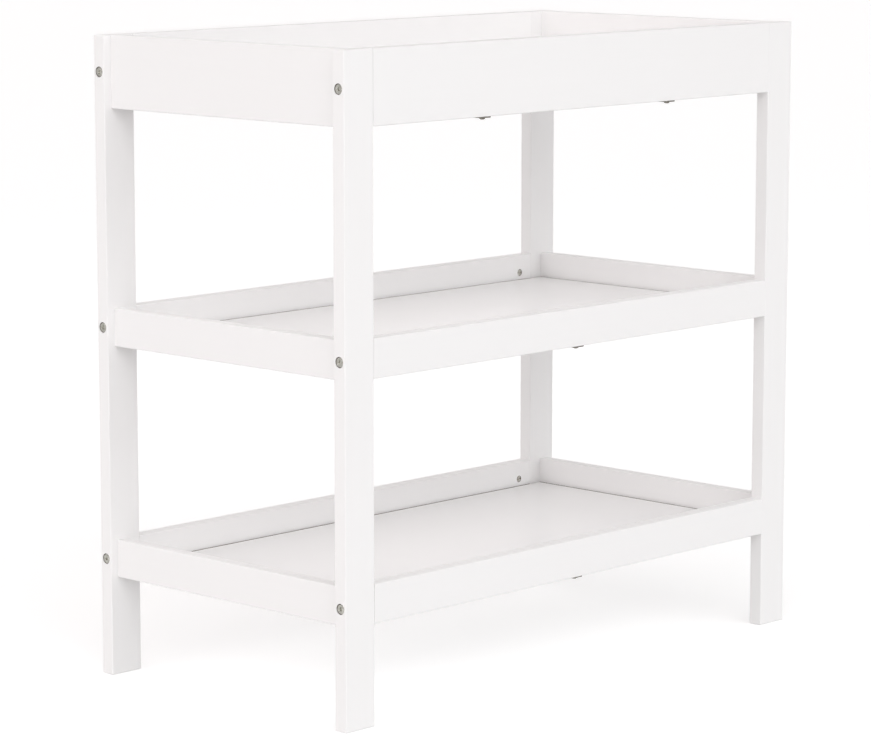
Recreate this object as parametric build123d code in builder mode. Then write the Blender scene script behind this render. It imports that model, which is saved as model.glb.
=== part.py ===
"""Open three-tier changing table: a deep top tray over two shallow shelf trays.

Frame: millimetres, +Z up, origin on the floor under the table's centre. The long sides
face -Y (front) and +Y (rear), the end frames stand at -X (left) and +X (right).
Each end frame is glued up with dowels; furniture bolts and barrel nuts join the long rails.
"""

from build123d import *
import os

os.makedirs("parts", exist_ok=True)

# Overall size
table_width = 917
table_depth = 482
table_height = 889

# Posts and rails
post_width = 53
post_thickness = 21
tray_rail_height = 100
shelf_rail_height = 53
middle_rail_bottom = 462
lower_rail_bottom = 138
end_rail_thickness = 18
end_rail_inset = 12
arris_radius = 1.5
foot_chamfer = 1.5

# Boards
board_thickness = 16
board_gap = 3
board_edge_chamfer = 0.6

# Furniture bolts and barrel nuts
bolt_diameter = 6
bolt_hole_clearance = 0.5
bolt_head_diameter = 13.5
bolt_head_height = 2.6
bolt_head_round = 0.8
bolt_socket_across_flats = 4
bolt_socket_depth = 1.8
counterbore_diameter = 14.6
counterbore_depth = 3.2
bolt_tip_length = 6
nut_diameter = 10
nut_length = 17
nut_recess = 0.5
nut_hole_clearance = 0.3
nut_bore_clearance = 0.2
nut_setback = 25
nut_slot_width = 1.6
nut_slot_depth = 1.4

# Glue dowels
dowel_diameter = 8
dowel_fit = 0.1
dowel_chamfer = 0.8
dowel_glue_space = 0.5
rail_dowel_depth = 15
post_dowel_depth = 14
tray_dowel_spacing = 60
shelf_dowel_spacing = 31
board_dowel_diameter = 6
board_dowel_depth = 12
board_dowel_spacing = 260

# Plates that carry the boards, with their pan-head screws
plate_width = 21
plate_thickness = 2
plate_corner_radius = 3
plate_edge_setback = 3
plate_screw_spacing = 32
plate_hole_diameter = 4.2
tray_plate_spacing = 380
screw_diameter = 3.5
screw_length = 13
screw_head_diameter = 8
screw_head_height = 2.4
screw_head_round = 1
screw_pilot_clearance = 0.1
recess_length = 4.2
recess_width = 1.1
recess_depth = 1.3

# Places that follow from the sizes
half_width = table_width / 2
half_depth = table_depth / 2
long_rail_end = half_width - post_width
rail_center_y = half_depth - post_thickness / 2
inner_y = half_depth - post_thickness
end_rail_outer = half_width - end_rail_inset
end_rail_center = end_rail_outer - end_rail_thickness / 2
inner_x = end_rail_outer - end_rail_thickness
nut_x = long_rail_end - nut_setback
bolt_seat_x = half_width - counterbore_depth
bolt_tip_x = nut_x - bolt_tip_length

tiers = {
    "tray": {
        "bottom": table_height - tray_rail_height,
        "height": tray_rail_height,
        "dowel_spacing": tray_dowel_spacing,
        "plates_x": (-tray_plate_spacing / 2, tray_plate_spacing / 2),
    },
    "middle": {
        "bottom": middle_rail_bottom,
        "height": shelf_rail_height,
        "dowel_spacing": shelf_dowel_spacing,
        "plates_x": (0,),
    },
    "lower": {
        "bottom": lower_rail_bottom,
        "height": shelf_rail_height,
        "dowel_spacing": shelf_dowel_spacing,
        "plates_x": (0,),
    },
}
ends = {"left": -1, "right": 1}
sides = {"front": -1, "rear": 1}
corners = [(x_sign, y_sign) for x_sign in ends.values() for y_sign in sides.values()]


def joint_height(tier):
    """Height of a tier's bolts, halfway up its rails."""
    return tier["bottom"] + tier["height"] / 2


def dowel_heights(tier):
    """Heights of the two dowels above and below a tier's bolts."""
    middle = joint_height(tier)
    return (middle - tier["dowel_spacing"] / 2, middle + tier["dowel_spacing"] / 2)


def facing_x(x, y, z, sign):
    """A plane across X whose normal points along +X or -X."""
    return Plane(origin=(x, y, z), x_dir=(0, sign, 0), z_dir=(sign, 0, 0))


def facing_y(x, y, z, sign):
    """A plane across Y whose normal points along +Y or -Y."""
    return Plane(origin=(x, y, z), x_dir=(-sign, 0, 0), z_dir=(0, sign, 0))


def facing_down(x, y, z):
    """A plane whose normal points to the floor."""
    return Plane(origin=(x, y, z), x_dir=(1, 0, 0), z_dir=(0, 0, -1))


def keep(part, name):
    """Label a finished piece and write it to its own file."""
    part.label = name
    export_step(part, f"parts/{name}.step")


def make_post(name, x_sign, y_sign):
    """A corner post with the bolt and dowel holes of all three tiers."""
    outer_x = x_sign * half_width
    face_x = x_sign * long_rail_end
    face_y = y_sign * inner_y
    center_x = x_sign * (half_width - post_width / 2)
    center_y = y_sign * rail_center_y
    with BuildPart() as post:
        with BuildSketch(Plane.XY):
            with Locations((center_x, center_y)):
                Rectangle(post_width, post_thickness)
        extrude(amount=table_height)
        chamfer(post.faces().sort_by(Axis.Z)[0].edges(), foot_chamfer)
        fillet(post.edges().filter_by(Axis.Z), arris_radius)
        fillet(post.faces().sort_by(Axis.Z)[-1].edges(), arris_radius)
        for tier in tiers.values():
            with Locations(facing_x(outer_x, center_y, joint_height(tier), x_sign)):
                CounterBoreHole(
                    radius=bolt_diameter / 2 + bolt_hole_clearance,
                    counter_bore_radius=counterbore_diameter / 2,
                    counter_bore_depth=counterbore_depth,
                    depth=post_width,
                )
            for z in dowel_heights(tier):
                with Locations(facing_x(face_x, center_y, z, -x_sign)):
                    Hole(radius=(dowel_diameter + dowel_fit) / 2, depth=post_dowel_depth)
                with Locations(facing_y(x_sign * end_rail_center, face_y, z, -y_sign)):
                    Hole(radius=(dowel_diameter + dowel_fit) / 2, depth=post_dowel_depth)
    keep(post.part, name)


def make_long_rail(name, tier, y_sign):
    """A front or rear rail, its ends drilled for bolts, barrel nuts and dowels."""
    center_y = y_sign * rail_center_y
    bottom = tier["bottom"]
    bolt_hole_depth = long_rail_end - bolt_tip_x + bolt_tip_length / 2
    nut_hole_depth = nut_recess + nut_length
    with BuildPart() as rail:
        with BuildSketch(Plane.XY.offset(bottom)):
            with Locations((0, center_y)):
                Rectangle(2 * long_rail_end, post_thickness)
        extrude(amount=tier["height"])
        fillet(rail.edges().filter_by(Axis.X), arris_radius)
        for x_sign in ends.values():
            with Locations(facing_x(x_sign * long_rail_end, center_y, joint_height(tier), x_sign)):
                Hole(radius=bolt_diameter / 2 + bolt_hole_clearance, depth=bolt_hole_depth)
            with Locations(facing_y(x_sign * nut_x, y_sign * inner_y, joint_height(tier), -y_sign)):
                Hole(radius=(nut_diameter + nut_hole_clearance) / 2, depth=nut_hole_depth)
            for z in dowel_heights(tier):
                with Locations(facing_x(x_sign * long_rail_end, center_y, z, x_sign)):
                    Hole(radius=(dowel_diameter + dowel_fit) / 2, depth=rail_dowel_depth)
        for x in tier["plates_x"]:
            with Locations(facing_down(x, center_y, bottom)):
                Hole(radius=(screw_diameter + screw_pilot_clearance) / 2, depth=screw_length)
    keep(rail.part, name)


def make_end_rail(name, tier, x_sign):
    """A rail between the two posts of an end frame, with glue dowel holes."""
    with BuildPart() as rail:
        with BuildSketch(Plane.XY.offset(tier["bottom"])):
            with Locations((x_sign * end_rail_center, 0)):
                Rectangle(end_rail_thickness, 2 * inner_y)
        extrude(amount=tier["height"])
        fillet(rail.edges().filter_by(Axis.Y), arris_radius)
        for y_sign in sides.values():
            for z in dowel_heights(tier):
                with Locations(facing_y(x_sign * end_rail_center, y_sign * inner_y, z, y_sign)):
                    Hole(radius=(dowel_diameter + dowel_fit) / 2, depth=rail_dowel_depth)
        board_dowel_z = tier["bottom"] + board_thickness / 2
        for y in (-board_dowel_spacing / 2, board_dowel_spacing / 2):
            with Locations(facing_x(x_sign * inner_x, y, board_dowel_z, -x_sign)):
                Hole(radius=(board_dowel_diameter + dowel_fit) / 2, depth=board_dowel_depth)
    keep(rail.part, name)


def make_board(name, tier):
    """A flat board inside the four rails, flush with their undersides."""
    board_x = inner_x - board_gap
    board_y = inner_y - board_gap
    with BuildPart() as board:
        with BuildSketch(Plane.XY.offset(tier["bottom"])):
            Rectangle(2 * board_x, 2 * board_y)
        extrude(amount=board_thickness)
        chamfer(board.faces().sort_by(Axis.Z)[-1].edges(), board_edge_chamfer)
        board_dowel_z = tier["bottom"] + board_thickness / 2
        for x_sign in ends.values():
            for y in (-board_dowel_spacing / 2, board_dowel_spacing / 2):
                with Locations(facing_x(x_sign * board_x, y, board_dowel_z, x_sign)):
                    Hole(radius=(board_dowel_diameter + dowel_fit) / 2, depth=board_dowel_depth)
        for x in tier["plates_x"]:
            for y_sign in sides.values():
                screw_y = y_sign * (rail_center_y - plate_screw_spacing)
                with Locations(facing_down(x, screw_y, tier["bottom"])):
                    Hole(radius=(screw_diameter + screw_pilot_clearance) / 2, depth=screw_length)
    keep(board.part, name)


def make_bolts(name, tier):
    """One tier's four bolts: low round heads with a hex socket, in the posts' outer edges."""
    z = joint_height(tier)
    socket_radius = bolt_socket_across_flats / 2
    with BuildPart() as bolts:
        for x_sign, y_sign in corners:
            seat = facing_x(x_sign * bolt_seat_x, y_sign * rail_center_y, z, x_sign)
            with BuildPart(mode=Mode.PRIVATE) as bolt:
                with BuildSketch(seat):
                    Circle(bolt_head_diameter / 2)
                extrude(amount=bolt_head_height)
                rim = bolt.faces().sort_by(Axis.X)[-1 if x_sign > 0 else 0].edges()
                fillet(rim, bolt_head_round)
                with BuildSketch(seat):
                    Circle(bolt_diameter / 2)
                extrude(amount=bolt_tip_x - bolt_seat_x)
                with BuildSketch(seat.offset(bolt_head_height)):
                    RegularPolygon(socket_radius, 6, major_radius=False)
                extrude(amount=-bolt_socket_depth, mode=Mode.SUBTRACT)
            add(bolt.part)
    keep(bolts.part, name)


def make_barrel_nuts(name, tier):
    """One tier's four barrel nuts, cross-drilled for the bolts and slotted at the open end."""
    z = joint_height(tier)
    bore_radius = (bolt_diameter + nut_bore_clearance) / 2
    with BuildPart() as nuts:
        for x_sign, y_sign in corners:
            seat = facing_y(x_sign * nut_x, y_sign * (inner_y + nut_recess), z, -y_sign)
            bore = facing_x(x_sign * (nut_x + nut_diameter), y_sign * rail_center_y, z, x_sign)
            with BuildPart(mode=Mode.PRIVATE) as nut:
                with BuildSketch(seat):
                    Circle(nut_diameter / 2)
                extrude(amount=-nut_length)
                with BuildSketch(bore):
                    Circle(bore_radius)
                extrude(amount=-2 * nut_diameter, mode=Mode.SUBTRACT)
                with BuildSketch(seat):
                    Rectangle(2 * nut_diameter, nut_slot_width)
                extrude(amount=-nut_slot_depth, mode=Mode.SUBTRACT)
            add(nut.part)
    keep(nuts.part, name)


def make_dowels(name, seats, diameter, length):
    """A group of dowels, each starting at its seat and running along the seat's normal."""
    with BuildPart() as dowels:
        for seat in seats:
            with BuildPart(mode=Mode.PRIVATE) as dowel:
                with BuildSketch(seat):
                    Circle(diameter / 2)
                extrude(amount=length)
                chamfer(dowel.edges().filter_by(GeomType.CIRCLE), dowel_chamfer)
            add(dowel.part)
    keep(dowels.part, name)


def make_rail_dowels(name, tier):
    """The dowels between one tier's long rails and the posts."""
    start_x = long_rail_end - rail_dowel_depth + dowel_glue_space
    length = rail_dowel_depth + post_dowel_depth - 2 * dowel_glue_space
    seats = [
        facing_x(x_sign * start_x, y_sign * rail_center_y, z, x_sign)
        for x_sign, y_sign in corners
        for z in dowel_heights(tier)
    ]
    make_dowels(name, seats, dowel_diameter, length)


def make_end_dowels(name, tier):
    """The dowels between one tier's end rails and the posts."""
    start_y = inner_y - rail_dowel_depth + dowel_glue_space
    length = rail_dowel_depth + post_dowel_depth - 2 * dowel_glue_space
    seats = [
        facing_y(x_sign * end_rail_center, y_sign * start_y, z, y_sign)
        for x_sign, y_sign in corners
        for z in dowel_heights(tier)
    ]
    make_dowels(name, seats, dowel_diameter, length)


def make_board_dowels(name, tier):
    """The thin dowels that locate one tier's board in its end rails."""
    start_x = inner_x - board_gap - board_dowel_depth + dowel_glue_space
    length = 2 * board_dowel_depth + board_gap - 2 * dowel_glue_space
    z = tier["bottom"] + board_thickness / 2
    seats = [
        facing_x(x_sign * start_x, y_sign * board_dowel_spacing / 2, z, x_sign)
        for x_sign, y_sign in corners
    ]
    make_dowels(name, seats, board_dowel_diameter, length)


def make_plates(name, tier):
    """The flat plates under one tier: each bridges the gap from a long rail to the board."""
    outer_y = half_depth - plate_edge_setback
    rail_screw_y = rail_center_y
    board_screw_y = rail_center_y - plate_screw_spacing
    inner_end_y = board_screw_y - (outer_y - rail_screw_y)
    plate_length = outer_y - inner_end_y
    with BuildPart() as plates:
        with BuildSketch(facing_down(0, 0, tier["bottom"])):
            for x in tier["plates_x"]:
                for y_sign in sides.values():
                    with Locations((x, y_sign * (outer_y + inner_end_y) / 2)):
                        RectangleRounded(plate_width, plate_length, plate_corner_radius)
                    with Locations((x, y_sign * rail_screw_y), (x, y_sign * board_screw_y)):
                        Circle(plate_hole_diameter / 2, mode=Mode.SUBTRACT)
        extrude(amount=plate_thickness)
    keep(plates.part, name)


def make_plate_screws(name, tier):
    """Pan-head screws up through the plates, one into the rail and one into the board."""
    with BuildPart() as screws:
        for x in tier["plates_x"]:
            for y_sign in sides.values():
                for y in (rail_center_y, rail_center_y - plate_screw_spacing):
                    seat = facing_down(x, y_sign * y, tier["bottom"] - plate_thickness)
                    with BuildPart(mode=Mode.PRIVATE) as screw:
                        with BuildSketch(seat):
                            Circle(screw_head_diameter / 2)
                        extrude(amount=screw_head_height)
                        fillet(screw.faces().sort_by(Axis.Z)[0].edges(), screw_head_round)
                        with BuildSketch(seat):
                            Circle(screw_diameter / 2)
                        extrude(amount=-screw_length)
                        with BuildSketch(seat.offset(screw_head_height)):
                            Rectangle(recess_length, recess_width)
                            Rectangle(recess_width, recess_length)
                        extrude(amount=-recess_depth, mode=Mode.SUBTRACT)
                    add(screw.part)
    keep(screws.part, name)


for side, y_sign in sides.items():
    for end, x_sign in ends.items():
        make_post(f"post_{side}_{end}", x_sign, y_sign)

for tier_name, tier in tiers.items():
    for side, y_sign in sides.items():
        make_long_rail(f"{tier_name}_{side}_rail", tier, y_sign)
    for end, x_sign in ends.items():
        make_end_rail(f"{tier_name}_{end}_rail", tier, x_sign)
    make_board(f"{tier_name}_board", tier)
    make_bolts(f"{tier_name}_bolts", tier)
    make_barrel_nuts(f"{tier_name}_barrel_nuts", tier)
    make_rail_dowels(f"{tier_name}_rail_dowels", tier)
    make_end_dowels(f"{tier_name}_end_dowels", tier)
    make_board_dowels(f"{tier_name}_board_dowels", tier)
    make_plates(f"{tier_name}_plates", tier)
    make_plate_screws(f"{tier_name}_plate_screws", tier)
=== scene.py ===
import math

import bpy
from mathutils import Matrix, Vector


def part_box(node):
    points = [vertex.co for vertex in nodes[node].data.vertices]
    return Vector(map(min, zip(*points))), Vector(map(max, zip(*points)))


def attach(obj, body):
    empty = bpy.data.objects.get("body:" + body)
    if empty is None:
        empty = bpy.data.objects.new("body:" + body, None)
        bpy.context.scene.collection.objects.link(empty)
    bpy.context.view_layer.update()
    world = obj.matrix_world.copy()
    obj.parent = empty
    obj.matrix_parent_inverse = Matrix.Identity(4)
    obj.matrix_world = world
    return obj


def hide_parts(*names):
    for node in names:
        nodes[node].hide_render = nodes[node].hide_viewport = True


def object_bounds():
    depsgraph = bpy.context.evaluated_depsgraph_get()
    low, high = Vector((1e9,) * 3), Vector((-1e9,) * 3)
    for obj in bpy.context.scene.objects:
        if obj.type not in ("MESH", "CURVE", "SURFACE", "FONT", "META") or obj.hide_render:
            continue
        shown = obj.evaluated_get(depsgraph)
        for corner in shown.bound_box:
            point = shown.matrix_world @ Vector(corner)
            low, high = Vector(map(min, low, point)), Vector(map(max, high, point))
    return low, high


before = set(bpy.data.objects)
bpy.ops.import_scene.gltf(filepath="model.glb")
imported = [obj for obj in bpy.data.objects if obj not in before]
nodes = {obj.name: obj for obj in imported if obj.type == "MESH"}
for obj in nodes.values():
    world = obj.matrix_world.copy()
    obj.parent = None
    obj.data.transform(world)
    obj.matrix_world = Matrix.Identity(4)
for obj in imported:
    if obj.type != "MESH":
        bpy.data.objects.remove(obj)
cad_lo, cad_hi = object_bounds()

TIERS = ("tray", "middle", "lower")
LONG_RAILS = ("front_rail", "rear_rail")
END_RAILS = ("left_rail", "right_rail")
POSTS = ("post_front_left", "post_front_right", "post_rear_left", "post_rear_right")
SIGNS = (-1, 1)

post_lo, post_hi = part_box("post_rear_right")
post_center_y = (post_lo.y + post_hi.y) / 2

# Drilled holes and edges, in metres
COUNTERBORE_RADIUS = 0.0073
COUNTERBORE_LIP = 0.0009
NUT_HOLE_RADIUS = 0.00515
ARRIS = 0.0015
# How far a mask reaches past a face or a hole's wall, so that it holds all of it
FACE_REACH = 0.0001
WALL_REACH = 0.0002

# Hardware sizes, in metres
BOLT = {
    "Head Diameter": 0.0135,
    "Head Height": 0.0026,
    "Socket Width": 0.004,
    "Socket Depth": 0.0018,
    "Socket Flare": 0.0005,
    "Shank Diameter": 0.006,
    "Shank Length": 0.075,
    "Thread Length": 0.045,
    "Thread Pitch": 0.001,
}
BOLT_TIP_LENGTH = 0.006
ROD_SUNK = 0.0004
BARREL_NUT = {
    "Diameter": 0.010,
    "Length": 0.017,
    "Bore Setback": 0.010,
    "Slot Width": 0.0016,
    "Slot Depth": 0.0014,
    "Bore Diameter": 0.0062,
}
PAN_SCREW = {
    "Head Diameter": 0.008,
    "Head Height": 0.0024,
    "Recess Length": 0.0044,
    "Recess Width": 0.0012,
    "Recess Depth": 0.0014,
    "Shank Diameter": 0.0035,
    "Shank Length": 0.013,
    "Thread Length": 0.011,
    "Thread Pitch": 0.0012,
}
PLATE_SCREW_SPACING = 0.032
DOWEL = {"Diameter": 0.008, "Flutes": 16.0, "Flute Depth": 0.0003}
BOARD_DOWEL = {"Diameter": 0.006, "Flutes": 14.0, "Flute Depth": 0.0003}
DOWEL_LENGTHS = {"rail_dowels": 0.028, "end_dowels": 0.028, "board_dowels": 0.026}


# ---------------------------------------------------------------- node helpers


def add_node(tree, kind, links=None, **settings):
    """A node with its properties set, and its sockets given values or linked, by name or index."""
    made = tree.nodes.new(kind)
    for key, value in settings.items():
        setattr(made, key, value)
    for key, value in (links or {}).items():
        socket = made.inputs[key]
        if isinstance(value, bpy.types.NodeSocket):
            tree.links.new(value, socket)
        else:
            socket.default_value = value
    return made


def math_node(tree, operation, *values, clamp=False):
    """The result socket of a maths node on one, two or three values or sockets."""
    made = tree.nodes.new("ShaderNodeMath")
    made.operation = operation
    made.use_clamp = clamp
    for socket, value in zip(made.inputs, values):
        if isinstance(value, bpy.types.NodeSocket):
            tree.links.new(value, socket)
        else:
            socket.default_value = value
    return made.outputs[0]


def open_group(name, kind, inputs, outputs):
    """A node tree with named sockets, and the sockets of its input and output nodes."""
    tree = bpy.data.node_groups.new(name, kind)
    for label, socket_type, default in inputs:
        socket = tree.interface.new_socket(label, in_out="INPUT", socket_type=socket_type)
        if default is not None:
            socket.default_value = default
    for label, socket_type in outputs:
        tree.interface.new_socket(label, in_out="OUTPUT", socket_type=socket_type)
    entry = tree.nodes.new("NodeGroupInput")
    result = tree.nodes.new("NodeGroupOutput")
    return tree, entry.outputs, result.inputs


# ------------------------------------------------------- shared surface effects


def build_orange_peel():
    """The fine pebbling that a sprayed lacquer dries with, over a slower flow ripple."""
    tree, given, result = open_group(
        "orange_peel",
        "ShaderNodeTree",
        [
            ("Vector", "NodeSocketVector", None),
            ("Pebble Size", "NodeSocketFloat", 0.0014),
            ("Ripple Size", "NodeSocketFloat", 0.012),
            ("Ripple Share", "NodeSocketFloat", 0.5),
        ],
        [("Height", "NodeSocketFloat")],
    )
    pebble_scale = math_node(tree, "DIVIDE", 1.0, given["Pebble Size"])
    ripple_scale = math_node(tree, "DIVIDE", 1.0, given["Ripple Size"])
    pebbles = add_node(
        tree,
        "ShaderNodeTexNoise",
        {"Vector": given["Vector"], "Scale": pebble_scale, "Detail": 1.5, "Roughness": 0.4},
    )
    ripple = add_node(
        tree,
        "ShaderNodeTexNoise",
        {"Vector": given["Vector"], "Scale": ripple_scale, "Detail": 1.0, "Roughness": 0.3},
    )
    slow = math_node(tree, "MULTIPLY", ripple.outputs["Fac"], given["Ripple Share"])
    total = math_node(tree, "ADD", pebbles.outputs["Fac"], slow)
    tree.links.new(total, result["Height"])
    return tree


def build_covered_grain():
    """Timber grain that shows faintly through lacquer: long streaks with a few pores."""
    tree, given, result = open_group(
        "covered_grain",
        "ShaderNodeTree",
        [
            ("Vector", "NodeSocketVector", None),
            ("Along", "NodeSocketVector", (1.0, 1.0, 1.0)),
            ("Streak Spacing", "NodeSocketFloat", 0.006),
            ("Pore Spacing", "NodeSocketFloat", 0.0011),
        ],
        [("Streaks", "NodeSocketFloat"), ("Pores", "NodeSocketFloat")],
    )
    drawn_out = add_node(
        tree,
        "ShaderNodeVectorMath",
        {0: given["Vector"], 1: given["Along"]},
        operation="MULTIPLY",
    )
    streak_scale = math_node(tree, "DIVIDE", 1.0, given["Streak Spacing"])
    pore_scale = math_node(tree, "DIVIDE", 1.0, given["Pore Spacing"])
    streaks = add_node(
        tree,
        "ShaderNodeTexNoise",
        {
            "Vector": drawn_out.outputs[0],
            "Scale": streak_scale,
            "Detail": 3.0,
            "Roughness": 0.55,
            "Distortion": 0.6,
        },
    )
    pores = add_node(
        tree,
        "ShaderNodeTexNoise",
        {"Vector": drawn_out.outputs[0], "Scale": pore_scale, "Detail": 2.0, "Roughness": 0.6},
    )
    deep = add_node(
        tree,
        "ShaderNodeMapRange",
        {"Value": pores.outputs["Fac"], "From Min": 0.56, "From Max": 0.72},
        interpolation_type="SMOOTHSTEP",
    )
    tree.links.new(streaks.outputs["Fac"], result["Streaks"])
    tree.links.new(deep.outputs["Result"], result["Pores"])
    return tree


def build_tone_drift():
    """Slow blotches, a hand's width across, where a finish is a touch thicker or warmer."""
    tree, given, result = open_group(
        "tone_drift",
        "ShaderNodeTree",
        [
            ("Vector", "NodeSocketVector", None),
            ("Blotch Size", "NodeSocketFloat", 0.09),
            ("Contrast", "NodeSocketFloat", 1.0),
        ],
        [("Drift", "NodeSocketFloat")],
    )
    scale = math_node(tree, "DIVIDE", 1.0, given["Blotch Size"])
    blotches = add_node(
        tree,
        "ShaderNodeTexNoise",
        {"Vector": given["Vector"], "Scale": scale, "Detail": 4.0, "Roughness": 0.5},
    )
    centred = math_node(tree, "SUBTRACT", blotches.outputs["Fac"], 0.5)
    stretched = math_node(tree, "MULTIPLY", centred, given["Contrast"])
    back = math_node(tree, "ADD", stretched, 0.5, clamp=True)
    tree.links.new(back, result["Drift"])
    return tree


def build_board_seat():
    """The band of a rail's inner face that a board's edge hides, as a mask for the shade painted in
    the gap.
    """
    tree, given, result = open_group(
        "board_seat",
        "ShaderNodeTree",
        [
            ("Distance Out", "NodeSocketFloat", 0.0),
            ("Height", "NodeSocketFloat", 0.0),
            ("Inner Face", "NodeSocketFloat", 0.22),
            ("Board Top", "NodeSocketFloat", 0.478),
            ("Board Thickness", "NodeSocketFloat", 0.016),
            ("Shade Inset", "NodeSocketFloat", 0.0003),
        ],
        [("Mask", "NodeSocketFloat")],
    )
    face = math_node(tree, "ADD", given["Inner Face"], FACE_REACH)
    on_face = math_node(tree, "LESS_THAN", given["Distance Out"], face)
    top = math_node(tree, "SUBTRACT", given["Board Top"], given["Shade Inset"])
    below = math_node(tree, "LESS_THAN", given["Height"], top)
    underside = math_node(tree, "SUBTRACT", given["Board Top"], given["Board Thickness"])
    above = math_node(tree, "GREATER_THAN", given["Height"], underside)
    inside = math_node(tree, "MULTIPLY", below, above)
    tree.links.new(math_node(tree, "MULTIPLY", on_face, inside), result["Mask"])
    return tree


def build_drilled_hole():
    """The wall and floor of a hole drilled into a face, below a thin lip at its mouth, as a mask
    for painted shade.
    """
    tree, given, result = open_group(
        "drilled_hole",
        "ShaderNodeTree",
        [
            ("Across", "NodeSocketFloat", 0.0),
            ("Up", "NodeSocketFloat", 0.0),
            ("Depth In", "NodeSocketFloat", 0.0),
            ("Radius", "NodeSocketFloat", 0.0073),
            ("Lacquer Lip", "NodeSocketFloat", 0.0004),
            ("Deepest", "NodeSocketFloat", 0.015),
        ],
        [("Mask", "NodeSocketFloat")],
    )
    square = math_node(
        tree,
        "ADD",
        math_node(tree, "MULTIPLY", given["Across"], given["Across"]),
        math_node(tree, "MULTIPLY", given["Up"], given["Up"]),
    )
    reach = math_node(tree, "SQRT", square)
    wall = math_node(tree, "ADD", given["Radius"], WALL_REACH)
    within = math_node(tree, "LESS_THAN", reach, wall)
    below_lip = math_node(tree, "GREATER_THAN", given["Depth In"], given["Lacquer Lip"])
    above_end = math_node(tree, "LESS_THAN", given["Depth In"], given["Deepest"])
    deep = math_node(tree, "MULTIPLY", below_lip, above_end)
    tree.links.new(math_node(tree, "MULTIPLY", within, deep), result["Mask"])
    return tree


def build_sawn_edge_and_shade():
    """The upright edges of a board, outside its lacquered faces, as a mask for their unlacquered
    colour darkened with painted shade.
    """
    tree, given, result = open_group(
        "sawn_edge_and_shade",
        "ShaderNodeTree",
        [
            ("Vector", "NodeSocketVector", None),
            ("Half Width", "NodeSocketFloat", 0.4255),
            ("Half Depth", "NodeSocketFloat", 0.217),
        ],
        [("Mask", "NodeSocketFloat")],
    )
    parts = add_node(tree, "ShaderNodeSeparateXYZ", {0: given["Vector"]}).outputs
    past_end = math_node(
        tree, "SUBTRACT", math_node(tree, "ABSOLUTE", parts["X"]), given["Half Width"]
    )
    past_side = math_node(
        tree, "SUBTRACT", math_node(tree, "ABSOLUTE", parts["Y"]), given["Half Depth"]
    )
    furthest = math_node(tree, "MAXIMUM", past_end, past_side)
    tree.links.new(math_node(tree, "GREATER_THAN", furthest, -FACE_REACH), result["Mask"])
    return tree


orange_peel = build_orange_peel()
board_seat = build_board_seat()
sawn_edge_and_shade = build_sawn_edge_and_shade()
drilled_hole = build_drilled_hole()
covered_grain = build_covered_grain()
tone_drift = build_tone_drift()


# -------------------------------------------------------------------- materials


def new_material(name):
    """An empty node material with its shader, its tree and its Object coordinates."""
    material = bpy.data.materials.new(name)
    material.use_nodes = True
    tree = material.node_tree
    tree.nodes.clear()
    shader = tree.nodes.new("ShaderNodeBsdfPrincipled")
    output = tree.nodes.new("ShaderNodeOutputMaterial")
    tree.links.new(shader.outputs["BSDF"], output.inputs["Surface"])
    place = tree.nodes.new("ShaderNodeTexCoord").outputs["Object"]
    return material, tree, shader, place


def use_group(tree, group, **values):
    """A shared effect placed in a material; names with underscores stand for its inputs."""
    links = {key.replace("_", " "): value for key, value in values.items()}
    return add_node(tree, "ShaderNodeGroup", links, node_tree=group).outputs


def blend_colors(tree, factor, first, second):
    """A mix of two colours, given as RGBA values or sockets."""
    mix = tree.nodes.new("ShaderNodeMix")
    mix.data_type = "RGBA"
    for socket, value in ((mix.inputs[0], factor), (mix.inputs[6], first), (mix.inputs[7], second)):
        if isinstance(value, bpy.types.NodeSocket):
            tree.links.new(value, socket)
        else:
            socket.default_value = value
    return mix.outputs[2]


def spread(tree, value, low, high):
    """A 0 to 1 value mapped onto low to high."""
    return add_node(
        tree, "ShaderNodeMapRange", {"Value": value, "To Min": low, "To Max": high}
    ).outputs["Result"]


def seat_mask(tree, place, axis):
    """Where the three boards hide the inner faces of the rails across one axis, painted dark as the
    shade in the gap.
    """
    rail = "middle_rear_rail" if axis == "Y" else "middle_right_rail"
    rail_lo, rail_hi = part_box(rail)
    parts = add_node(tree, "ShaderNodeSeparateXYZ", {0: place}).outputs
    distance_out = math_node(tree, "ABSOLUTE", parts[axis])
    mask = 0.0
    for tier in TIERS:
        board_lo, board_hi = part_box(f"{tier}_board")
        band = use_group(
            tree,
            board_seat,
            Distance_Out=distance_out,
            Height=parts["Z"],
            Inner_Face=rail_lo.y if axis == "Y" else rail_lo.x,
            Board_Top=board_hi.z,
            Board_Thickness=board_hi.z - board_lo.z,
        )["Mask"]
        mask = math_node(tree, "MAXIMUM", mask, band)
    return mask


def bolt_hole_mask(tree, place):
    """The counterbores that the bolt heads sit in, painted dark inside as shade."""
    parts = add_node(tree, "ShaderNodeSeparateXYZ", {0: place}).outputs
    from_front = math_node(tree, "ABSOLUTE", parts["Y"])
    from_middle = math_node(tree, "ABSOLUTE", parts["X"])
    mask = 0.0
    for tier in TIERS:
        bolt_lo, bolt_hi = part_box(f"{tier}_bolts")
        hole = use_group(
            tree,
            drilled_hole,
            Across=math_node(tree, "SUBTRACT", from_front, post_center_y),
            Up=math_node(tree, "SUBTRACT", parts["Z"], (bolt_lo.z + bolt_hi.z) / 2),
            Depth_In=math_node(tree, "SUBTRACT", cad_hi.x, from_middle),
            Radius=COUNTERBORE_RADIUS,
            Lacquer_Lip=COUNTERBORE_LIP,
            Deepest=post_hi.x - post_lo.x - ARRIS,
        )["Mask"]
        mask = math_node(tree, "MAXIMUM", mask, hole)
    return mask


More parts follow.
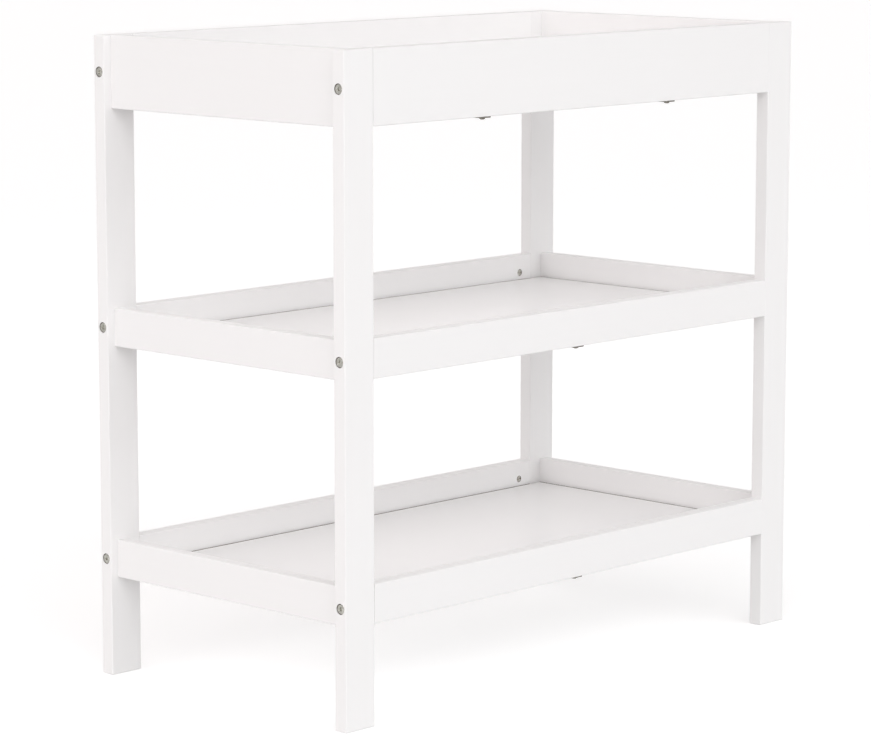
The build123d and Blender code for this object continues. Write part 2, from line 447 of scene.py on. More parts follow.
def nut_hole_mask(tree, place):
    """The holes that the barrel nuts sit in, painted dark inside as shade."""
    parts = add_node(tree, "ShaderNodeSeparateXYZ", {0: place}).outputs
    from_front = math_node(tree, "ABSOLUTE", parts["Y"])
    from_middle = math_node(tree, "ABSOLUTE", parts["X"])
    mask = 0.0
    for tier in TIERS:
        nut_lo, nut_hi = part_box(f"{tier}_barrel_nuts")
        rail_lo, rail_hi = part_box(f"{tier}_rear_rail")
        nut_x = nut_hi.x - BARREL_NUT["Diameter"] / 2
        hole = use_group(
            tree,
            drilled_hole,
            Across=math_node(tree, "SUBTRACT", from_middle, nut_x),
            Up=math_node(tree, "SUBTRACT", parts["Z"], (nut_lo.z + nut_hi.z) / 2),
            Depth_In=math_node(tree, "SUBTRACT", from_front, rail_lo.y),
            Radius=NUT_HOLE_RADIUS,
            Deepest=rail_hi.y - rail_lo.y - ARRIS,
        )["Mask"]
        mask = math_node(tree, "MAXIMUM", mask, hole)
    return mask


def long_rail_mask(tree, place):
    """All the painted shade on a long rail: the band behind the boards and the nut holes."""
    return math_node(
        tree, "MAXIMUM", seat_mask(tree, place, "Y"), nut_hole_mask(tree, place)
    )


def end_rail_mask(tree, place):
    """The painted shade on an end rail, in the band behind the boards."""
    return seat_mask(tree, place, "X")


def edge_mask(tree, place):
    """The edges of the boards, sawn and unlacquered, darkened with painted shade."""
    board_lo, board_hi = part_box("middle_board")
    return use_group(
        tree, sawn_edge_and_shade, Vector=place, Half_Width=board_hi.x, Half_Depth=board_hi.y
    )["Mask"]


# Lacquer whites, the shade of the grain under them, and a near-black painted shade for gaps, holes
# and board edges
LACQUER_DULL = (0.912, 0.901, 0.899, 1)
LACQUER_BRIGHT = (0.920, 0.910, 0.908, 1)
GRAIN_SHADE = (0.70, 0.68, 0.65, 1)
PAINTED_SHADE_COLOR = (0.15, 0.11, 0.085, 1)
LACQUER_BLOTCH = 0.16
STREAK_TINT = 0.05
# What drift, pores and the painted-shade patches add to the lacquer's roughness
DRIFT_ROUGHNESS = 0.015
PORE_ROUGHNESS = 0.05
PAINTED_SHADE_ROUGHNESS = 0.5
# How far streaks stand up and pores sink, against the lacquer's own pebbling
STREAK_RELIEF = 0.6
PORE_RELIEF = -0.5


def white_lacquer(name, grain_along, grain_depth, roughness, painted_shade=None):
    """Satin white lacquer, sprayed on timber or board, with the grain just showing through.

    painted_shade makes the mask of where shade is painted near black, if anything.
    """
    material, tree, shader, place = new_material(name)
    drift = use_group(tree, tone_drift, Vector=place, Blotch_Size=LACQUER_BLOTCH)["Drift"]
    grain = use_group(tree, covered_grain, Vector=place, Along=grain_along)
    peel = use_group(tree, orange_peel, Vector=place, Ripple_Share=0.0)["Height"]

    drifted = blend_colors(tree, drift, LACQUER_DULL, LACQUER_BRIGHT)
    streak_shade = math_node(tree, "MULTIPLY", grain["Streaks"], grain_depth * STREAK_TINT)
    color = blend_colors(tree, streak_shade, drifted, GRAIN_SHADE)
    varied = spread(tree, drift, -DRIFT_ROUGHNESS, DRIFT_ROUGHNESS)
    gloss = math_node(tree, "ADD", varied, roughness)
    pitted = math_node(tree, "MULTIPLY", grain["Pores"], PORE_ROUGHNESS * grain_depth)
    gloss = math_node(tree, "ADD", gloss, pitted)
    # Painted shade: masked gaps, holes and board edges are coloured near black and made matt for
    # the shade that falls there; the board edges are also unlacquered.
    if painted_shade:
        mask = painted_shade(tree, place)
        color = blend_colors(tree, mask, color, PAINTED_SHADE_COLOR)
        matt = math_node(tree, "MULTIPLY", mask, PAINTED_SHADE_ROUGHNESS)
        gloss = math_node(tree, "ADD", gloss, matt)
    tree.links.new(color, shader.inputs["Base Color"])
    tree.links.new(gloss, shader.inputs["Roughness"])

    streak_height = math_node(tree, "MULTIPLY", grain["Streaks"], STREAK_RELIEF * grain_depth)
    pore_height = math_node(tree, "MULTIPLY", grain["Pores"], PORE_RELIEF * grain_depth)
    relief = math_node(tree, "ADD", math_node(tree, "ADD", peel, streak_height), pore_height)
    bump = add_node(
        tree, "ShaderNodeBump", {"Height": relief, "Strength": 0.35, "Distance": 0.00006}
    )
    tree.links.new(bump.outputs["Normal"], shader.inputs["Normal"])
    shader.inputs["IOR"].default_value = 1.5
    return material


def plated_steel(name, dull, bright):
    """Zinc-plated steel: mottled between a dull and a bright grey, with a thin straw tint."""
    material, tree, shader, place = new_material(name)
    drift = use_group(tree, tone_drift, Vector=place, Blotch_Size=0.004, Contrast=2.2)["Drift"]
    tree.links.new(blend_colors(tree, drift, dull, bright), shader.inputs["Base Color"])
    shader.inputs["Metallic"].default_value = 1.0
    tree.links.new(spread(tree, drift, 0.17, 0.30), shader.inputs["Roughness"])
    peel = use_group(tree, orange_peel, Vector=place, Pebble_Size=0.00035, Ripple_Size=0.002)
    bump = add_node(
        tree, "ShaderNodeBump", {"Height": peel["Height"], "Strength": 0.5, "Distance": 0.00002}
    )
    tree.links.new(bump.outputs["Normal"], shader.inputs["Normal"])
    return material


BEECH_DARK = (0.52, 0.34, 0.19, 1)
BEECH_PALE = (0.74, 0.55, 0.36, 1)
BEECH_FLECK = (0.33, 0.19, 0.10, 1)


def beech(name, grain_along):
    """Plain turned beech, pale brown with short flecks along its length."""
    material, tree, shader, place = new_material(name)
    grain = use_group(
        tree,
        covered_grain,
        Vector=place,
        Along=grain_along,
        Streak_Spacing=0.0016,
        Pore_Spacing=0.0005,
    )
    base = blend_colors(tree, grain["Streaks"], BEECH_DARK, BEECH_PALE)
    flecks = math_node(tree, "MULTIPLY", grain["Pores"], 0.6)
    flecked = blend_colors(tree, flecks, base, BEECH_FLECK)
    tree.links.new(flecked, shader.inputs["Base Color"])
    tree.links.new(spread(tree, grain["Streaks"], 0.5, 0.7), shader.inputs["Roughness"])
    bump = add_node(
        tree, "ShaderNodeBump", {"Height": grain["Streaks"], "Strength": 0.6, "Distance": 0.0001}
    )
    tree.links.new(bump.outputs["Normal"], shader.inputs["Normal"])
    return material


# Grain direction: the timber's pattern is drawn out 25 times along one axis
ALONG_X = (0.04, 1.0, 1.0)
ALONG_Y = (1.0, 0.04, 1.0)
ALONG_Z = (1.0, 1.0, 0.04)
NO_GRAIN = (1.0, 1.0, 1.0)
TIMBER_ROUGHNESS = 0.36
BOARD_ROUGHNESS = 0.25

post_lacquer = white_lacquer("post_lacquer", ALONG_Z, 1.0, TIMBER_ROUGHNESS, bolt_hole_mask)
long_rail_lacquer = white_lacquer(
    "long_rail_lacquer", ALONG_X, 1.0, TIMBER_ROUGHNESS, long_rail_mask
)
end_rail_lacquer = white_lacquer("end_rail_lacquer", ALONG_Y, 1.0, TIMBER_ROUGHNESS, end_rail_mask)
board_lacquer = white_lacquer("board_lacquer", NO_GRAIN, 0.0, BOARD_ROUGHNESS, edge_mask)
bright_zinc = plated_steel("bright_zinc", (0.46, 0.45, 0.40, 1), (0.76, 0.75, 0.69, 1))
dark_zinc = plated_steel("dark_zinc", (0.20, 0.19, 0.165, 1), (0.40, 0.38, 0.34, 1))
dowel_beech_x = beech("beech_along_x", ALONG_X)
dowel_beech_y = beech("beech_along_y", ALONG_Y)


def paint(node_name, material):
    """Give a CAD node one material on all its faces."""
    mesh = nodes[node_name].data
    mesh.materials.clear()
    mesh.materials.append(material)


for post in POSTS:
    paint(post, post_lacquer)
for tier in TIERS:
    for rail in LONG_RAILS:
        paint(f"{tier}_{rail}", long_rail_lacquer)
    for rail in END_RAILS:
        paint(f"{tier}_{rail}", end_rail_lacquer)
    paint(f"{tier}_board", board_lacquer)
    paint(f"{tier}_plates", dark_zinc)


# ------------------------------------------------------ fasteners by node trees


def vector_node(tree, operation, *values):
    """The result socket of a vector operation on vectors, tuples or sockets."""
    return add_node(
        tree, "ShaderNodeVectorMath", dict(enumerate(values)), operation=operation
    ).outputs[0]


def at_height(tree, height):
    """A vector socket for a place on the Z axis."""
    return add_node(tree, "ShaderNodeCombineXYZ", {"Z": height}).outputs[0]


def open_fastener(name, sizes):
    """A geometry tree with the seats, the material and one named input for each size."""
    inputs = [("Seats", "NodeSocketGeometry", None)]
    inputs += [(label, "NodeSocketFloat", value) for label, value in sizes.items()]
    inputs += [("Finish", "NodeSocketMaterial", None)]
    return open_group(name, "GeometryNodeTree", inputs, [("Geometry", "NodeSocketGeometry")])


def cylinder(tree, diameter, height, sides, rows=1):
    """A closed cylinder that stands on the XY plane."""
    radius = math_node(tree, "DIVIDE", diameter, 2.0)
    made = add_node(
        tree,
        "GeometryNodeMeshCylinder",
        {"Vertices": sides, "Side Segments": rows, "Radius": radius, "Depth": height},
        fill_type="NGON",
    )
    lift = at_height(tree, math_node(tree, "DIVIDE", height, 2.0))
    return add_node(
        tree, "GeometryNodeTransform", {"Geometry": made.outputs["Mesh"], "Translation": lift}
    ).outputs[0]


def cone(tree, bottom, top, height, sides):
    """A closed cone frustum that stands on the XY plane."""
    made = add_node(
        tree,
        "GeometryNodeMeshCone",
        {
            "Vertices": sides,
            "Radius Top": math_node(tree, "DIVIDE", top, 2.0),
            "Radius Bottom": math_node(tree, "DIVIDE", bottom, 2.0),
            "Depth": height,
        },
        fill_type="NGON",
    )
    return made.outputs["Mesh"]


def box_mesh(tree, x, y, z):
    """A block centred on the origin."""
    size = add_node(tree, "ShaderNodeCombineXYZ", {"X": x, "Y": y, "Z": z}).outputs[0]
    return add_node(tree, "GeometryNodeMeshCube", {"Size": size}).outputs["Mesh"]


def moved(tree, geometry, place, turn=(0.0, 0.0, 0.0)):
    """A geometry shifted and turned."""
    return add_node(
        tree,
        "GeometryNodeTransform",
        {"Geometry": geometry, "Translation": place, "Rotation": turn},
    ).outputs[0]


def shaped(tree, geometry, height, profile):
    """A cylinder whose rows are drawn in or out, by a profile of (height share, radius share)."""
    position = tree.nodes.new("GeometryNodeInputPosition").outputs[0]
    parts = add_node(tree, "ShaderNodeSeparateXYZ", {0: position}).outputs
    share = math_node(tree, "DIVIDE", parts["Z"], height)
    curve = tree.nodes.new("ShaderNodeFloatCurve")
    tree.links.new(share, curve.inputs["Value"])
    points = curve.mapping.curves[0].points
    while len(points) < len(profile):
        points.new(0.5, 0.5)
    for point, (along, out) in zip(points, profile):
        point.location = (along, out)
        point.handle_type = "VECTOR"
    curve.mapping.update()
    width = curve.outputs["Value"]
    scale = add_node(tree, "ShaderNodeCombineXYZ", {"X": width, "Y": width, "Z": 1.0}).outputs[0]
    return add_node(
        tree,
        "GeometryNodeSetPosition",
        {"Geometry": geometry, "Position": vector_node(tree, "MULTIPLY", position, scale)},
    ).outputs[0]


def joined(tree, operation, *meshes):
    """The exact union of meshes, or the first mesh less the others."""
    made = add_node(tree, "GeometryNodeMeshBoolean", operation=operation, solver="EXACT")
    first, rest = ([], meshes) if operation == "UNION" else (meshes[:1], meshes[1:])
    for mesh in first:
        tree.links.new(mesh, made.inputs["Mesh 1"])
    for mesh in rest:
        tree.links.new(mesh, made.inputs["Mesh 2"])
    return made.outputs["Mesh"]


def finish_fastener(tree, given, result, single, sweep, seed):
    """One fastener on every seat, facing out, spun a little about its own axis, as one mesh."""
    facing = add_node(
        tree, "GeometryNodeInputNamedAttribute", {"Name": "facing"}, data_type="FLOAT_VECTOR"
    ).outputs["Attribute"]
    across = add_node(
        tree, "GeometryNodeInputNamedAttribute", {"Name": "across"}, data_type="FLOAT_VECTOR"
    ).outputs["Attribute"]
    out = add_node(tree, "FunctionNodeAlignRotationToVector", {"Vector": facing}, axis="Z")
    turned = add_node(
        tree,
        "FunctionNodeAlignRotationToVector",
        {"Rotation": out.outputs[0], "Vector": across},
        axis="X",
        pivot_axis="Z",
    )
    placed = add_node(
        tree,
        "GeometryNodeInstanceOnPoints",
        {"Points": given["Seats"], "Instance": single, "Rotation": turned.outputs[0]},
    )
    spin = add_node(tree, "FunctionNodeRandomValue", {"Seed": seed})
    spins = [s for s in spin.inputs if s.type == "VALUE" and s.enabled]
    for socket, value in zip(spins, (-sweep, sweep)):
        socket.default_value = value
    amount = [s for s in spin.outputs if s.type == "VALUE" and s.enabled][0]
    turn = add_node(tree, "ShaderNodeCombineXYZ", {"Z": amount}).outputs[0]
    spun = add_node(
        tree, "GeometryNodeRotateInstances", {"Instances": placed.outputs[0], "Rotation": turn}
    )
    solid = add_node(tree, "GeometryNodeRealizeInstances", {"Geometry": spun.outputs[0]})
    finish = add_node(
        tree,
        "GeometryNodeSetMaterial",
        {"Geometry": solid.outputs[0], "Material": given["Finish"]},
    )
    tree.links.new(finish.outputs[0], result["Geometry"])


def share_of_turn(tree, position):
    """The angle of a point about the Z axis, in turns."""
    parts = add_node(tree, "ShaderNodeSeparateXYZ", {0: position}).outputs
    angle = math_node(tree, "ARCTAN2", parts["Y"], parts["X"])
    return math_node(tree, "DIVIDE", angle, math.tau)


# A thread: the plain stretch at its tip, in pitches, and how steeply a tooth's sides fall
TIP_PITCHES = 0.1
TOOTH_SLOPE = 1.1


def build_thread_cut(sides, rows_each_turn):
    """A closed rod from the origin down, with a screw thread cut into its lower part."""
    tree, given, result = open_group(
        "threaded_rod",
        "GeometryNodeTree",
        [
            ("Diameter", "NodeSocketFloat", 0.006),
            ("Length", "NodeSocketFloat", 0.07),
            ("Thread Length", "NodeSocketFloat", 0.04),
            ("Pitch", "NodeSocketFloat", 0.001),
        ],
        [("Geometry", "NodeSocketGeometry")],
    )
    rows = math_node(
        tree,
        "MULTIPLY",
        math_node(tree, "DIVIDE", given["Length"], given["Pitch"]),
        rows_each_turn,
    )
    rod = cylinder(tree, given["Diameter"], given["Length"], sides, rows)
    position = tree.nodes.new("GeometryNodeInputPosition").outputs[0]
    height = add_node(tree, "ShaderNodeSeparateXYZ", {0: position}).outputs["Z"]
    turns = math_node(tree, "DIVIDE", height, given["Pitch"])
    phase = math_node(tree, "SUBTRACT", turns, share_of_turn(tree, position))
    tooth = math_node(tree, "PINGPONG", phase, 0.5)
    threaded = math_node(tree, "LESS_THAN", height, given["Thread Length"])
    tip = math_node(tree, "MULTIPLY", given["Pitch"], TIP_PITCHES)
    above_tip = math_node(tree, "GREATER_THAN", height, tip)
    depth = math_node(tree, "MULTIPLY", given["Pitch"], TOOTH_SLOPE)
    cut = math_node(tree, "MULTIPLY", tooth, math_node(tree, "MULTIPLY", threaded, depth))
    cut = math_node(tree, "MULTIPLY", cut, above_tip)
    radius = math_node(tree, "DIVIDE", given["Diameter"], 2.0)
    width = math_node(tree, "SUBTRACT", 1.0, math_node(tree, "DIVIDE", cut, radius))
    scale = add_node(tree, "ShaderNodeCombineXYZ", {"X": width, "Y": width, "Z": 1.0}).outputs[0]
    cut_rod = add_node(
        tree,
        "GeometryNodeSetPosition",
        {"Geometry": rod, "Position": vector_node(tree, "MULTIPLY", position, scale)},
    ).outputs[0]
    down = at_height(tree, math_node(tree, "MULTIPLY", given["Length"], -1.0))
    tree.links.new(moved(tree, cut_rod, down), result["Geometry"])
    return tree


threaded_rod = build_thread_cut(sides=20, rows_each_turn=4)


def rod(tree, diameter, length, thread_length, pitch):
    """The threaded rod with its sizes, its top sunk a little into the head that it carries."""
    made = add_node(
        tree,
        "GeometryNodeGroup",
        {"Diameter": diameter, "Thread Length": thread_length, "Pitch": pitch},
        node_tree=threaded_rod,
    )
    sunk = math_node(tree, "ADD", length, ROD_SUNK)
    tree.links.new(sunk, made.inputs["Length"])
    return moved(tree, made.outputs["Geometry"], (0.0, 0.0, ROD_SUNK))


def build_bolt():
    """A furniture bolt: low round head with a hex socket, over a part-threaded shank."""
    tree, given, result = open_fastener("furniture_bolt", BOLT)
    head = shaped(
        tree,
        cylinder(tree, given["Head Diameter"], given["Head Height"], sides=48, rows=10),
        given["Head Height"],
        ((0.0, 0.97), (0.1, 1.0), (0.6, 1.0), (0.8, 0.975), (0.9, 0.945), (1.0, 0.89)),
    )
    shank = rod(
        tree,
        given["Shank Diameter"],
        given["Shank Length"],
        given["Thread Length"],
        given["Thread Pitch"],
    )
    corner_width = math_node(tree, "DIVIDE", given["Socket Width"], math.cos(math.radians(30)))
    socket = moved(
        tree,
        cylinder(tree, corner_width, given["Head Height"], sides=6),
        at_height(tree, math_node(tree, "SUBTRACT", given["Head Height"], given["Socket Depth"])),
    )
    flare_top = math_node(
        tree, "ADD", corner_width, math_node(tree, "MULTIPLY", given["Socket Flare"], 4.0)
    )
    flare_bottom = math_node(
        tree, "SUBTRACT", corner_width, math_node(tree, "MULTIPLY", given["Socket Flare"], 2.0)
    )
    flare_height = math_node(tree, "MULTIPLY", given["Socket Flare"], 3.0)
    flare_depth = math_node(tree, "MULTIPLY", given["Socket Flare"], 2.0)
    flare = moved(
        tree,
        cone(tree, flare_bottom, flare_top, flare_height, sides=32),
        at_height(tree, math_node(tree, "SUBTRACT", given["Head Height"], flare_depth)),
    )
    solid = joined(tree, "DIFFERENCE", joined(tree, "UNION", head, shank), socket, flare)
    finish_fastener(tree, given, result, solid, sweep=math.pi, seed=11)
    return tree


def build_barrel_nut():
    """A barrel nut that ends at its seat: cross-bored, with a screwdriver slot in the end."""
    tree, given, result = open_fastener("barrel_nut", BARREL_NUT)
    length = given["Length"]
    body = shaped(
        tree,
        cylinder(tree, given["Diameter"], length, sides=40, rows=30),
        length,
        ((0.0, 0.9), (0.05, 1.0), (0.95, 1.0), (1.0, 0.9)),
    )
    body = moved(tree, body, at_height(tree, math_node(tree, "MULTIPLY", length, -1.0)))
    through = math_node(tree, "MULTIPLY", length, 2.0)
    bore = moved(
        tree,
        cylinder(tree, given["Bore Diameter"], through, sides=32),
        add_node(
            tree,
            "ShaderNodeCombineXYZ",
            {
                "X": math_node(tree, "MULTIPLY", length, -1.0),
                "Z": math_node(tree, "MULTIPLY", given["Bore Setback"], -1.0),
            },
        ).outputs[0],
        (0.0, math.pi / 2, 0.0),
    )
    slot = box_mesh(
        tree,
        math_node(tree, "MULTIPLY", given["Diameter"], 2.0),
        given["Slot Width"],
        math_node(tree, "MULTIPLY", given["Slot Depth"], 2.0),
    )
    solid = joined(tree, "DIFFERENCE", body, bore, slot)
    finish_fastener(tree, given, result, solid, sweep=0.05, seed=5)
    return tree


def build_pan_screw():
    """A pan-head wood screw with a cross recess."""
    tree, given, result = open_fastener("pan_screw", PAN_SCREW)
    head = shaped(
        tree,
        cylinder(tree, given["Head Diameter"], given["Head Height"], sides=40, rows=10),
        given["Head Height"],
        ((0.0, 0.97), (0.1, 1.0), (0.4, 0.99), (0.7, 0.91), (0.9, 0.77), (1.0, 0.6)),
    )
    shank = rod(
        tree,
        given["Shank Diameter"],
        given["Shank Length"],
        given["Thread Length"],
        given["Thread Pitch"],
    )
    wing_height = math_node(tree, "MULTIPLY", given["Recess Depth"], 2.0)
    top = at_height(tree, given["Head Height"])
    length, width = given["Recess Length"], given["Recess Width"]
    wing = moved(tree, box_mesh(tree, length, width, wing_height), top)
    crossed = moved(tree, box_mesh(tree, width, length, wing_height), top)
    double_width = math_node(tree, "MULTIPLY", width, 2.0)
    well = moved(
        tree,
        cone(tree, width, double_width, wing_height, sides=24),
        at_height(tree, math_node(tree, "SUBTRACT", given["Head Height"], given["Recess Depth"])),
    )
    solid = joined(tree, "DIFFERENCE", joined(tree, "UNION", head, shank), wing, crossed, well)
    finish_fastener(tree, given, result, solid, sweep=math.pi, seed=23)
    return tree


def build_fluted_dowel():
    """A fluted wooden dowel that starts at its seat and runs outwards, its ends bevelled."""
    tree, given, result = open_fastener("fluted_dowel", {**DOWEL, "Length": 0.028})
    rows = 28
    smooth = shaped(
        tree,
        cylinder(tree, given["Diameter"], given["Length"], sides=64, rows=rows),
        given["Length"],
        ((0.0, 0.8), (1 / rows, 1.0), (1 - 1 / rows, 1.0), (1.0, 0.8)),
    )
    position = tree.nodes.new("GeometryNodeInputPosition").outputs[0]
    turns = math_node(tree, "MULTIPLY", share_of_turn(tree, position), given["Flutes"])
    wave = math_node(tree, "COSINE", math_node(tree, "MULTIPLY", turns, math.tau))
    hollow = math_node(tree, "MAXIMUM", wave, 0.0)
    groove = math_node(tree, "MULTIPLY", hollow, given["Flute Depth"])
    radius = math_node(tree, "DIVIDE", given["Diameter"], 2.0)
    width = math_node(tree, "SUBTRACT", 1.0, math_node(tree, "DIVIDE", groove, radius))
    scale = add_node(tree, "ShaderNodeCombineXYZ", {"X": width, "Y": width, "Z": 1.0}).outputs[0]
    fluted = add_node(
        tree,
        "GeometryNodeSetPosition",
        {"Geometry": smooth, "Position": vector_node(tree, "MULTIPLY", position, scale)},
    ).outputs[0]
    finish_fastener(tree, given, result, fluted, sweep=math.pi, seed=37)
    return tree


def set_fasteners(name, tree, sizes, seats, finish):
    """A plain mesh of one fastener on each seat, in place of the CAD node of the same name."""
    points = bpy.data.meshes.new(f"{name}_seats")
    points.from_pydata([place for place, facing, across in seats], [], [])
    for index, label in ((1, "facing"), (2, "across")):
        attribute = points.attributes.new(label, "FLOAT_VECTOR", "POINT")
        for item, seat in zip(attribute.data, seats):
            item.vector = seat[index]
    piece = bpy.data.objects.new(f"{name}_set", points)
    bpy.context.scene.collection.objects.link(piece)
    modifier = piece.modifiers.new("fasteners", "NODES")
    modifier.node_group = tree
    values = {**sizes, "Finish": finish}
    for socket in tree.interface.items_tree:
        if socket.name in values:
            modifier[socket.identifier] = values[socket.name]
    depsgraph = bpy.context.evaluated_depsgraph_get()
    solid = bpy.data.meshes.new_from_object(piece.evaluated_get(depsgraph), depsgraph=depsgraph)
    piece.modifiers.clear()
    piece.data = solid
    for index in reversed(range(len(solid.materials))):
        if solid.materials[index] is None:
            solid.materials.pop(index=index)
    solid.name = f"{name}_set"
    solid.shade_smooth()
    solid.set_sharp_from_angle(angle=math.radians(32))
    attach(piece, "root")
    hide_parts(name)


furniture_bolt = build_bolt()
barrel_nut = build_barrel_nut()
pan_screw = build_pan_screw()
fluted_dowel = build_fluted_dowel()

UP = Vector((0, 0, 1))
DOWN = Vector((0, 0, -1))
CORNERS = [(x_sign, y_sign) for x_sign in SIGNS for y_sign in SIGNS]


def fit_bolts_and_nuts(tier):
    """Bolts in the posts' counterbores, and the barrel nuts that they screw into."""
    bolt_lo, bolt_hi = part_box(f"{tier}_bolts")
    nut_lo, nut_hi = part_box(f"{tier}_barrel_nuts")
    middle = (bolt_lo.z + bolt_hi.z) / 2
    seat_x = bolt_hi.x - BOLT["Head Height"]
    nut_x = nut_hi.x - BARREL_NUT["Diameter"] / 2
    sizes = {**BOLT, "Shank Length": seat_x - nut_x + BOLT_TIP_LENGTH}
    bolts = []
    nuts = []
    for x_sign, y_sign in CORNERS:
        outward = Vector((x_sign, 0, 0))
        inward = Vector((0, -y_sign, 0))
        bolts.append(((x_sign * seat_x, y_sign * post_center_y, middle), outward, UP))
        open_end = nut_hi.y - BARREL_NUT["Length"]
        nuts.append(((x_sign * nut_x, y_sign * open_end, middle), inward, outward))
    set_fasteners(f"{tier}_bolts", furniture_bolt, sizes, bolts, bright_zinc)
    set_fasteners(f"{tier}_barrel_nuts", barrel_nut, BARREL_NUT, nuts, bright_zinc)


def end_places(low, high, radius):
    """Where the first and the last of a row sit, or the one place if they are the same."""
    return sorted({round(low + radius, 5), round(high - radius, 5)})


def fit_plate_screws(tier):
    """Two screws up through each plate, into the rail and into the board."""
    lo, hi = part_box(f"{tier}_plate_screws")
    radius = PAN_SCREW["Head Diameter"] / 2
    seat_z = lo.z + PAN_SCREW["Head Height"]
    rail_y = hi.y - radius
    seats = [
        ((x, y_sign * y, seat_z), DOWN, Vector((1, 0, 0)))
        for x in end_places(lo.x, hi.x, radius)
        for y_sign in SIGNS
        for y in (rail_y, rail_y - PLATE_SCREW_SPACING)
    ]
    set_fasteners(f"{tier}_plate_screws", pan_screw, PAN_SCREW, seats, dark_zinc)


def fit_dowels(tier):
    """Rail, end-rail and board dowels, each group read off its CAD node's box."""
    for kind, sizes, axis in (
        ("rail_dowels", DOWEL, 0),
        ("end_dowels", DOWEL, 1),
        ("board_dowels", BOARD_DOWEL, 0),
    ):
        lo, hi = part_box(f"{tier}_{kind}")
        radius = sizes["Diameter"] / 2
        length = DOWEL_LENGTHS[kind]
        heights = end_places(lo.z, hi.z, radius)
        other = 1 - axis
        seats = []
        for x_sign, y_sign in CORNERS:
            signs = (x_sign, y_sign)
            for z in heights:
                place = Vector((0, 0, z))
                place[axis] = signs[axis] * (hi[axis] - length)
                place[other] = signs[other] * (hi[other] - radius)
                facing = Vector((0, 0, 0))
                facing[axis] = signs[axis]
                seats.append((place, facing, UP))
        beech_finish = dowel_beech_x if axis == 0 else dowel_beech_y
        values = {**sizes, "Length": length}
        set_fasteners(f"{tier}_{kind}", fluted_dowel, values, seats, beech_finish)


for tier in TIERS:
    fit_bolts_and_nuts(tier)
    fit_plate_screws(tier)
    fit_dowels(tier)


# ------------------------------------------------------------- floor and lights

FLOOR_SIZE = 60.0
# The floor is white to the camera, and greyer to the light that it bounces onto the table
FLOOR_SEEN = (0.99, 0.99, 0.99, 1)
FLOOR_BOUNCE = (0.45, 0.45, 0.45, 1)
FLOOR_GLOW_SEEN = 0.255
FLOOR_GLOW = 0.34
NEUTRAL = (1.0, 1.0, 1.0, 1)
COOL = (0.985, 0.995, 1.0, 1)
WARM = (1.0, 0.96, 0.958, 1)
# Height bands as the sine of the height angle: where the low band ends, where the top one starts
LOW_BAND_END = (0.10, 0.30)
TOP_BAND_START = (0.50, 0.75)
TOP_STRENGTH = 0.38
# Each side of the surround: axis, sign, low and middle strengths, share left in reflections, tint
SURROUND = {
    "front": ("Y", -1, 0.10, 2.47, 0.5, COOL),
    "left": ("X", -1, 0.25, 2.03, 0.5, WARM),
    "rear": ("Y", 1, 0.85, 0.95, 1.0, WARM),
    "right": ("X", 1, 1.17, 0.45, 1.0, WARM),
}
SOFTBOX_DISTANCE = 4.0
SOFTBOX_SIZE = 2.0
# Direction round the table (0 is the front, -90 the left end), height angle and watts
SOFTBOXES = {
    "left_softbox": (-90, 16, 7),
    "near_corner_softbox": (-46, 40, 10),
    "front_softbox": (-20, 40, 7),
    "rear_softbox": (172, 36, 10),
}


def lay_floor():
    """A wide pale floor at the table's feet, with a little light of its own."""
    bpy.ops.mesh.primitive_plane_add(size=FLOOR_SIZE, location=(0, 0, cad_lo.z))
    floor = bpy.context.object
    floor.name = "studio_floor"
    material, tree, shader, place = new_material("studio_floor")
    seen = add_node(tree, "ShaderNodeLightPath").outputs["Is Camera Ray"]
    grey = blend_colors(tree, seen, FLOOR_BOUNCE, FLOOR_SEEN)
    tree.links.new(grey, shader.inputs["Base Color"])
    shader.inputs["Roughness"].default_value = 0.9
    shader.inputs["Specular IOR Level"].default_value = 0.1
    shader.inputs["Emission Color"].default_value = NEUTRAL
    glow = spread(tree, seen, FLOOR_GLOW, FLOOR_GLOW_SEEN)
    tree.links.new(glow, shader.inputs["Emission Strength"])
    floor.data.materials.append(material)


def build_surround_side():
    """The light from one side of the studio, by the direction that it comes from."""
    tree, given, result = open_group(
        "surround_side",
        "ShaderNodeTree",
        [
            ("Height", "NodeSocketFloat", 0.0),
            ("Facing", "NodeSocketFloat", 0.0),
            ("Level", "NodeSocketFloat", 1.0),
            ("Low", "NodeSocketFloat", 1.0),
            ("Middle", "NodeSocketFloat", 1.0),
        ],
        [("Strength", "NodeSocketFloat")],
    )
    above_low = add_node(
        tree,
        "ShaderNodeMapRange",
        {"Value": given["Height"], "From Min": LOW_BAND_END[0], "From Max": LOW_BAND_END[1]},
        interpolation_type="SMOOTHSTEP",
    ).outputs["Result"]
    in_top = add_node(
        tree,
        "ShaderNodeMapRange",
        {"Value": given["Height"], "From Min": TOP_BAND_START[0], "From Max": TOP_BAND_START[1]},
        interpolation_type="SMOOTHSTEP",
    ).outputs["Result"]
    low = math_node(tree, "MULTIPLY", math_node(tree, "SUBTRACT", 1.0, above_low), given["Low"])
    middle = math_node(
        tree, "MULTIPLY", math_node(tree, "SUBTRACT", above_low, in_top), given["Middle"]
    )
    top = math_node(tree, "MULTIPLY", in_top, TOP_STRENGTH)
    cosine = math_node(
        tree, "DIVIDE", given["Facing"], math_node(tree, "MAXIMUM", given["Level"], 0.001)
    )
    share = math_node(tree, "POWER", math_node(tree, "MAXIMUM", cosine, 0.0), 2.0)
    total = math_node(tree, "ADD", math_node(tree, "ADD", low, middle), top)
    tree.links.new(math_node(tree, "MULTIPLY", total, share), result["Strength"])
    return tree


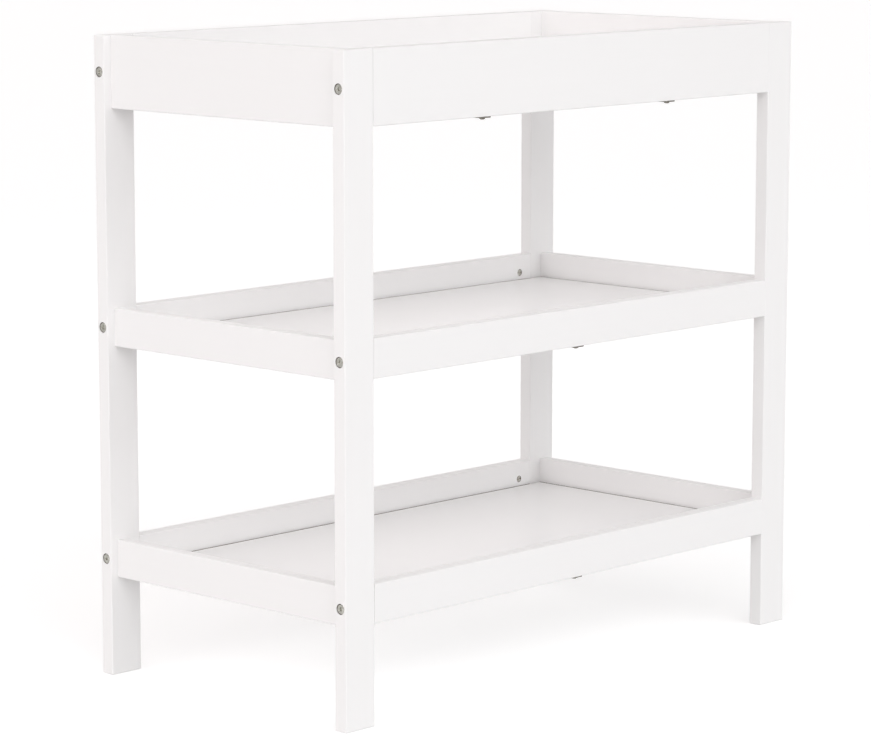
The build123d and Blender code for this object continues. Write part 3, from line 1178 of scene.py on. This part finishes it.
def hang_surround():
    """White walls round the studio, bright at head height in front and on the left."""
    world = bpy.data.worlds.new("studio")
    bpy.context.scene.world = world
    world.use_nodes = True
    tree = world.node_tree
    background = tree.nodes["Background"]
    direction = tree.nodes.new("ShaderNodeTexCoord").outputs["Generated"]
    parts = add_node(tree, "ShaderNodeSeparateXYZ", {0: direction}).outputs
    lengths = [math_node(tree, "ABSOLUTE", parts[axis]) for axis in "XY"]
    squares = [math_node(tree, "POWER", length, 2.0) for length in lengths]
    level = math_node(tree, "SQRT", math_node(tree, "ADD", *squares))
    side_light = build_surround_side()
    ray = tree.nodes.new("ShaderNodeLightPath").outputs
    total = None
    for axis, sign, low, middle, in_gloss, tint in SURROUND.values():
        side = use_group(
            tree,
            side_light,
            Height=parts["Z"],
            Facing=math_node(tree, "MULTIPLY", parts[axis], sign),
            Level=level,
            Low=low,
            Middle=middle,
        )["Strength"]
        lost = math_node(tree, "MULTIPLY", ray["Is Glossy Ray"], 1.0 - in_gloss)
        kept = math_node(tree, "MULTIPLY", side, math_node(tree, "SUBTRACT", 1.0, lost))
        tinted = vector_node(tree, "SCALE", tint[:3])
        tree.links.new(kept, tinted.node.inputs["Scale"])
        total = tinted if total is None else vector_node(tree, "ADD", total, tinted)
    color = blend_colors(tree, ray["Is Camera Ray"], total, NEUTRAL)
    tree.links.new(color, background.inputs["Color"])


def add_softbox(name, direction, height_angle, watts):
    """A square area light on a sphere round the table, aimed at its middle."""
    around, up = math.radians(direction), math.radians(height_angle)
    middle = (cad_lo + cad_hi) / 2
    out = Vector((math.sin(around) * math.cos(up), -math.cos(around) * math.cos(up), math.sin(up)))
    place = middle + out * SOFTBOX_DISTANCE
    light = bpy.data.lights.new(name, "AREA")
    light.shape = "SQUARE"
    light.size = SOFTBOX_SIZE
    light.energy = watts
    box = bpy.data.objects.new(name, light)
    box.location = place
    box.rotation_mode = "QUATERNION"
    box.rotation_quaternion = (middle - place).to_track_quat("-Z", "Y")
    bpy.context.scene.collection.objects.link(box)


def light_studio():
    """A soft white surround, shaped a little by large softboxes."""
    hang_surround()
    for name, (direction, height_angle, watts) in SOFTBOXES.items():
        add_softbox(name, direction, height_angle, watts)


lay_floor()
light_studio()

# ----------------------------------------------------------------------- camera

CAMERA_PLACE = (-3.5592, -3.3624, 1.1638)
CAMERA_TURN = (math.radians(90 - 8.936), 0.0, math.radians(-46.32))
CAMERA_LENS = 143.6


def set_camera():
    """A long lens, a little above the tray, looking at the near left corner."""
    lens = bpy.data.cameras.new("camera")
    lens.lens = CAMERA_LENS
    lens.sensor_width = 36
    lens.clip_end = 100
    camera = bpy.data.objects.new("camera", lens)
    camera.location = CAMERA_PLACE
    camera.rotation_euler = CAMERA_TURN
    bpy.context.scene.collection.objects.link(camera)
    bpy.context.scene.camera = camera


set_camera()
scene = bpy.context.scene
scene.view_settings.view_transform = "Standard"
